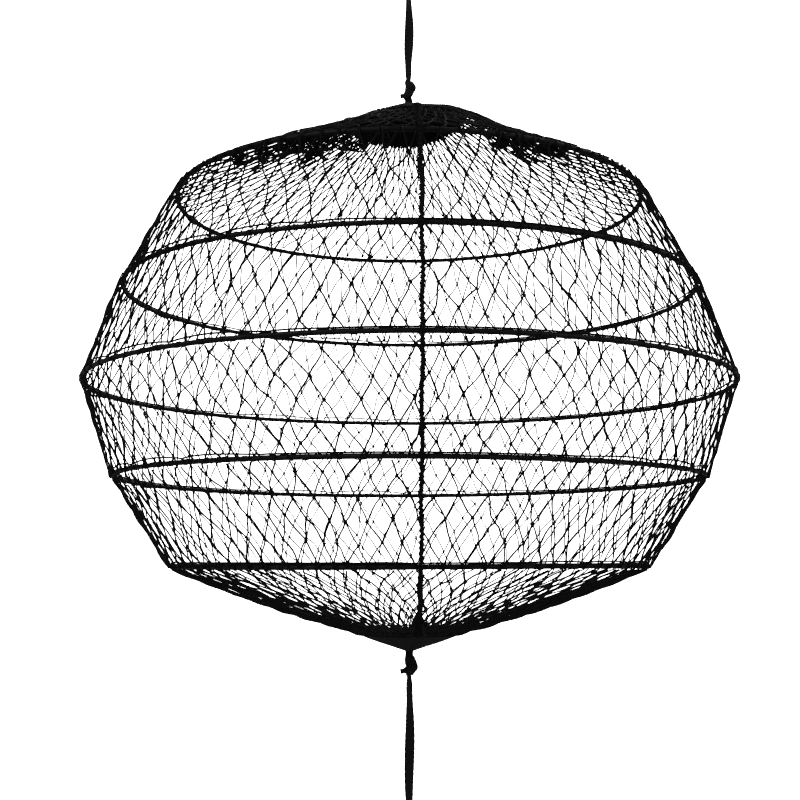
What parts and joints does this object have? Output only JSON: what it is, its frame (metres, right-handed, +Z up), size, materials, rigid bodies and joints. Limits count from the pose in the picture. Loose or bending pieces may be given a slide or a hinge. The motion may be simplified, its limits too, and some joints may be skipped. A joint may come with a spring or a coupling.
{
  "type": "folding crab trap",
  "caption": "Lantern-shaped folding net trap: wire hoops in knotted net, conical ends under round caps, a laced front seam, and a knotted tape with a loop at top and bottom.",
  "frame": {"origin": "the inner face of the upper loop at its crown, the point where a hook carries the trap", "axes": "+Z up along the trap's axis, so everything hangs at negative Z; -Y is the front, where the laced seam runs; +X is to the right seen from the front"},
  "size_m": [0.6051, 0.609, 0.9108],
  "materials": {
    "coated_wire": "satin black plastic coat",
    "ferrule": "blackened metal",
    "net_twine": "twisted black twine",
    "seam_cord": "braided black cord",
    "cap_fabric": "woven black cloth",
    "woven_tape": "woven black tape"
  },
  "bodies": {
    "top": {"hang_loop": "woven_tape", "hang_loop_knot": "woven_tape", "hang_tape": "woven_tape", "top_knot": "woven_tape", "top_cap": "cap_fabric", "net_top_cone": "net_twine", "seam_tie_top": "seam_cord", "seam_top": "seam_cord"},
    "hoop_1": {"hoop_1": "coated_wire", "hoop_1_ferrule": "ferrule", "net_wall_1": "net_twine", "seam_wall_1": "seam_cord"},
    "hoop_2": {"hoop_2": "coated_wire", "hoop_2_ferrule": "ferrule", "net_wall_2": "net_twine", "seam_wall_2": "seam_cord"},
    "hoop_3": {"hoop_3": "coated_wire", "hoop_3_ferrule": "ferrule", "net_wall_3": "net_twine", "seam_wall_3": "seam_cord"},
    "hoop_4": {"hoop_4": "coated_wire", "hoop_4_ferrule": "ferrule", "net_wall_4": "net_twine", "seam_wall_4": "seam_cord"},
    "hoop_5": {"hoop_5": "coated_wire", "hoop_5_ferrule": "ferrule", "net_bottom_cone": "net_twine", "seam_bottom": "seam_cord"},
    "bottom": {"seam_tie_bottom": "seam_cord", "bottom_cap": "cap_fabric", "bottom_knot": "woven_tape", "bottom_tape": "woven_tape", "bottom_loop_knot": "woven_tape", "bottom_loop": "woven_tape"}
  },
  "joints": [
    {"name": "top_cone_fold", "type": "slide", "parent": "top", "child": "hoop_1", "axis": [0, 0, 1], "range_m": [0, 0.072], "deforming": ["net_top_cone", "seam_top"]},
    {"name": "wall_1_fold", "type": "slide", "parent": "hoop_1", "child": "hoop_2", "axis": [0, 0, 1], "range_m": [0, 0.076], "deforming": ["net_wall_1", "seam_wall_1"]},
    {"name": "wall_2_fold", "type": "slide", "parent": "hoop_2", "child": "hoop_3", "axis": [0, 0, 1], "range_m": [0, 0.077], "deforming": ["net_wall_2", "seam_wall_2"]},
    {"name": "wall_3_fold", "type": "slide", "parent": "hoop_3", "child": "hoop_4", "axis": [0, 0, 1], "range_m": [0, 0.074], "deforming": ["net_wall_3", "seam_wall_3"]},
    {"name": "wall_4_fold", "type": "slide", "parent": "hoop_4", "child": "hoop_5", "axis": [0, 0, 1], "range_m": [0, 0.068], "deforming": ["net_wall_4", "seam_wall_4"]},
    {"name": "bottom_cone_fold", "type": "slide", "parent": "hoop_5", "child": "bottom", "axis": [0, 0, 1], "range_m": [0, 0.051], "deforming": ["net_bottom_cone", "seam_bottom"]}
  ]
}
